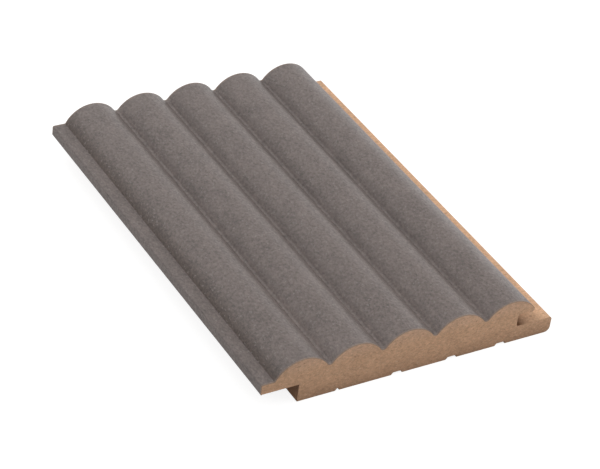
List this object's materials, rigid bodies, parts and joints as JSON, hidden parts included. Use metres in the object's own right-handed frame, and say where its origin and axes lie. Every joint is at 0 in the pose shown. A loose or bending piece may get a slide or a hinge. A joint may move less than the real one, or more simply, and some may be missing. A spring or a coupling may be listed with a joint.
{
  "type": "fluted mdf wall panel",
  "caption": "Fluted MDF wall panel, cut short: film-covered round flutes, a lip on one edge, a slot and tongue on the other.",
  "frame": {"origin": "centre of the panel's outline, on the back face that it lies on", "axes": "+Y along the flutes, +X across them towards the tongue, +Z out of the fluted face"},
  "size_m": [0.1176, 0.162, 0.018],
  "materials": {
    "raw_mdf": "raw medium density fibreboard, fine fibre speckle, denser towards the back",
    "decor_film": "matt taupe grey decorative film with a fine sandy speckle"
  },
  "bodies": {
    "root": {"mdf_board": "raw_mdf", "decor_film": "decor_film"}
  },
  "joints": []
}
